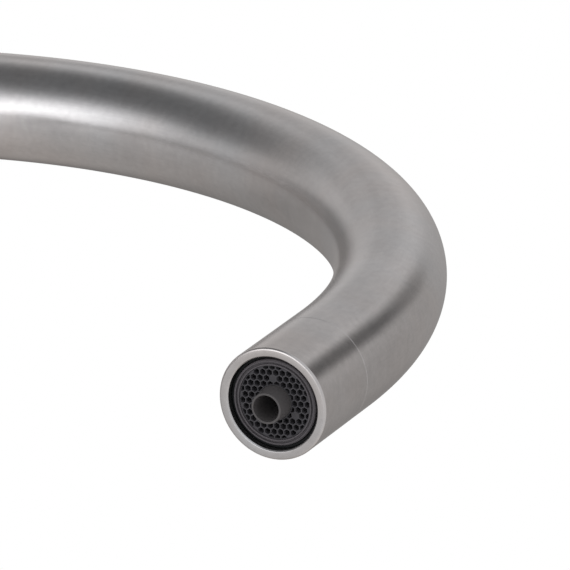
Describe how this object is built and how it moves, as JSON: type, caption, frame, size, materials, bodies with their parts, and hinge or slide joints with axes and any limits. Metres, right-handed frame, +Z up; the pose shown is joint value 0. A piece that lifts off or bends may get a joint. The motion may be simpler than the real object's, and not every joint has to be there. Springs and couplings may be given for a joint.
{
  "type": "three-way gooseneck kitchen tap",
  "caption": "Single-hole gooseneck tap with a swivelling bent spout, honeycomb outlet round a separate filtered-water nozzle, a side mixer lever and a side filter lever.",
  "frame": {"origin": "centre of the tap's seat on the worktop's upper face, on the riser's axis", "axes": "+Z up, the spout reaches towards -Y, the mixer lever is on +X and the filter lever on -X"},
  "size_m": [0.124, 0.262, 0.4265],
  "materials": {
    "satin_steel": "satin brushed",
    "plain_steel": "machined",
    "zinc_steel": "zinc plated",
    "brass": "machined",
    "black_rubber": "matt",
    "grey_plastic": "moulded",
    "black_plastic": "moulded",
    "white_plastic": "moulded",
    "line_plastic": "extruded",
    "ceramic": "ground ceramic"
  },
  "bodies": {
    "root": {"body": "satin_steel", "base_ring": "satin_steel", "base_gasket": "black_rubber", "shank": "brass", "clamp_gasket": "black_rubber", "clamp_washer": "zinc_steel", "shank_nut": "brass", "line_nipple": "brass", "nipple_o_ring": "black_rubber", "glide_ring": "white_plastic", "stop_screw": "plain_steel", "cartridge_base": "white_plastic", "port_seals": "black_rubber", "fixed_disc": "ceramic", "cartridge_housing": "white_plastic", "cartridge_nut": "brass", "dome_cover": "satin_steel", "filter_seal": "black_rubber", "filter_fixed_disc": "ceramic", "filter_valve": "brass"},
    "spout": {"spout_tube": "satin_steel", "outlet_sleeve": "satin_steel", "spout_socket": "satin_steel", "spout_collar": "satin_steel", "spout_o_rings": "black_rubber", "filter_line": "line_plastic", "aerator_holder": "black_plastic", "aerator_housing": "grey_plastic", "honeycomb": "grey_plastic", "jet_plate": "grey_plastic", "inlet_screen": "plain_steel", "aerator_seal": "black_rubber", "filter_nozzle": "grey_plastic", "nozzle_o_ring": "black_rubber"},
    "mixer_carrier": {"carrier": "white_plastic", "pivot_pin": "plain_steel"},
    "mixer_disc": {"moving_disc": "ceramic"},
    "mixer_lever": {"mixer_stem": "plain_steel", "mixer_handle": "satin_steel", "mixer_lever": "satin_steel", "mixer_screw": "plain_steel", "mixer_plug": "satin_steel"},
    "filter_lever": {"filter_spindle": "brass", "filter_moving_disc": "ceramic", "spindle_clip": "plain_steel", "filter_handle": "satin_steel", "filter_lever": "satin_steel", "filter_screw": "plain_steel", "filter_plug": "satin_steel"}
  },
  "joints": [
    {"name": "spout_swivel", "type": "hinge", "parent": "root", "child": "spout", "pos_m": [0, 0, 0.117], "axis": [0, 0, 1], "range_deg": [-75, 75]},
    {"name": "mixer_temperature", "type": "hinge", "parent": "root", "child": "mixer_carrier", "pos_m": [0.033, 0, 0.076], "axis": [1, 0, 0], "range_deg": [-50, 50]},
    {"name": "mixer_flow", "type": "hinge", "parent": "mixer_carrier", "child": "mixer_lever", "pos_m": [0.033, 0, 0.076], "axis": [0, 1, 0], "range_deg": [0, 20]},
    {"name": "disc_slide", "type": "slide", "parent": "mixer_carrier", "child": "mixer_disc", "axis": [0, 0, 1], "range_m": [0, 0.0032]},
    {"name": "filter_turn", "type": "hinge", "parent": "root", "child": "filter_lever", "pos_m": [-0.04, 0, 0.076], "axis": [1, 0, 0], "range_deg": [0, 90]}
  ],
  "couplings": [
    {"joint": "disc_slide", "follows": "mixer_flow", "m_per_rad": 0.0088}
  ]
}
